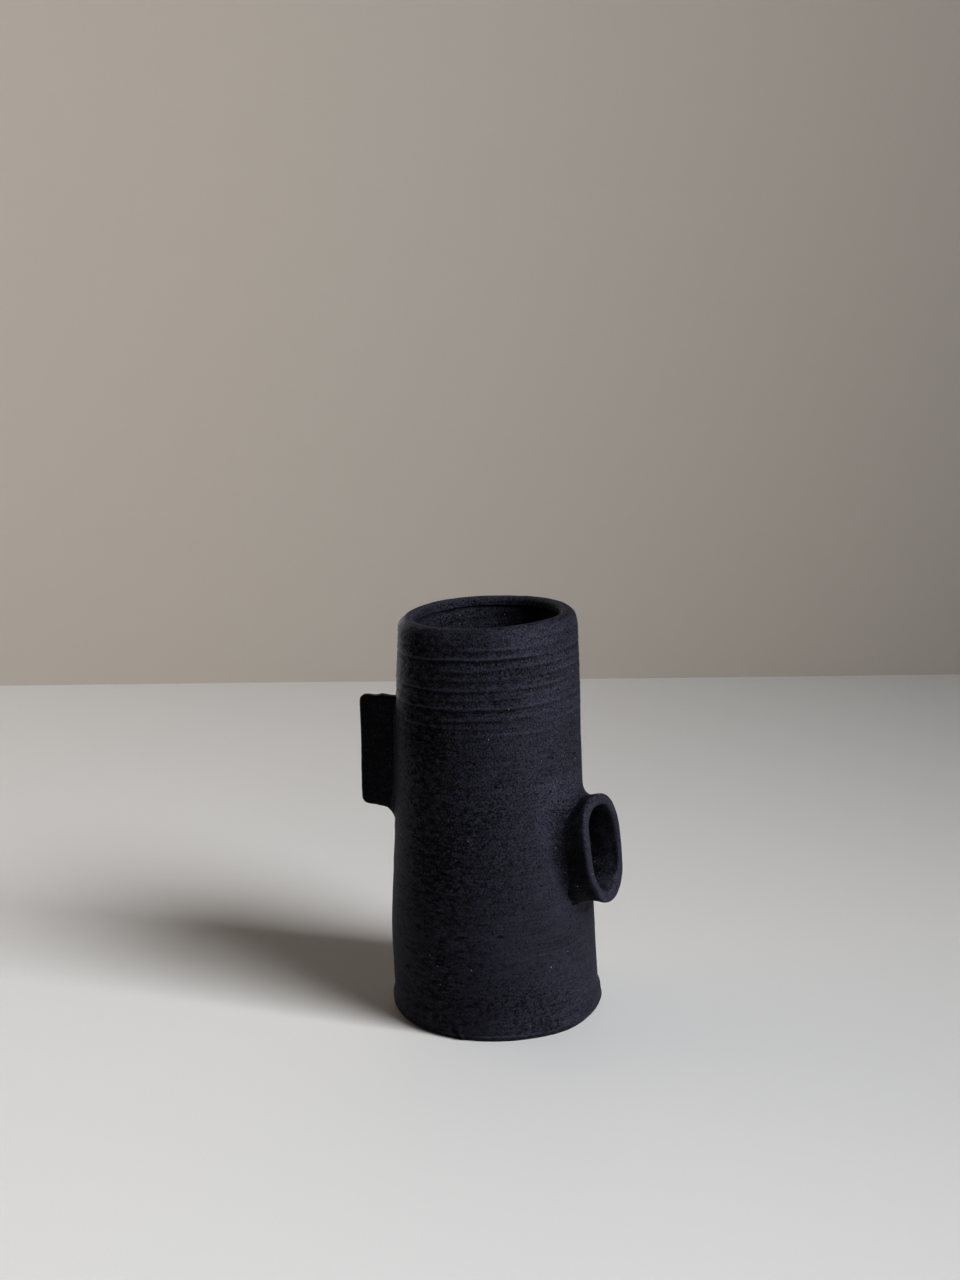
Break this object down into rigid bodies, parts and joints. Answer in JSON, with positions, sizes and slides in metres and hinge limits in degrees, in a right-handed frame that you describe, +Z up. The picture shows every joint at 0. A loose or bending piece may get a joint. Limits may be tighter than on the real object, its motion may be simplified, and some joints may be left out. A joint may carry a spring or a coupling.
{
  "type": "stoneware vase",
  "caption": "Matt black stoneware cylinder vase with a hollow oval side spout and a flat upright fin.",
  "frame": {"origin": "middle of the foot, on the surface the vase stands on", "axes": "+Z up through the mouth; -Y is the front; the spout points to +X turned 28 degrees towards the front; the fin points to -X turned 12 degrees towards the back"},
  "size_m": [0.127, 0.1042, 0.1999],
  "materials": {
    "thrown_clay": "unglazed matt blue-black fired stoneware with throwing rings, torn grog pits and drag marks",
    "slab_clay": "unglazed matt blue-black fired stoneware, pinched and smoothed by hand",
    "coil_clay": "unglazed matt blue-black fired stoneware, smeared with a fingertip"
  },
  "bodies": {
    "root": {"vase_wall": "thrown_clay", "base_disc": "slab_clay", "side_spout": "slab_clay", "spout_join_coil": "coil_clay", "side_fin": "slab_clay", "fin_join_coil": "coil_clay"}
  },
  "joints": []
}
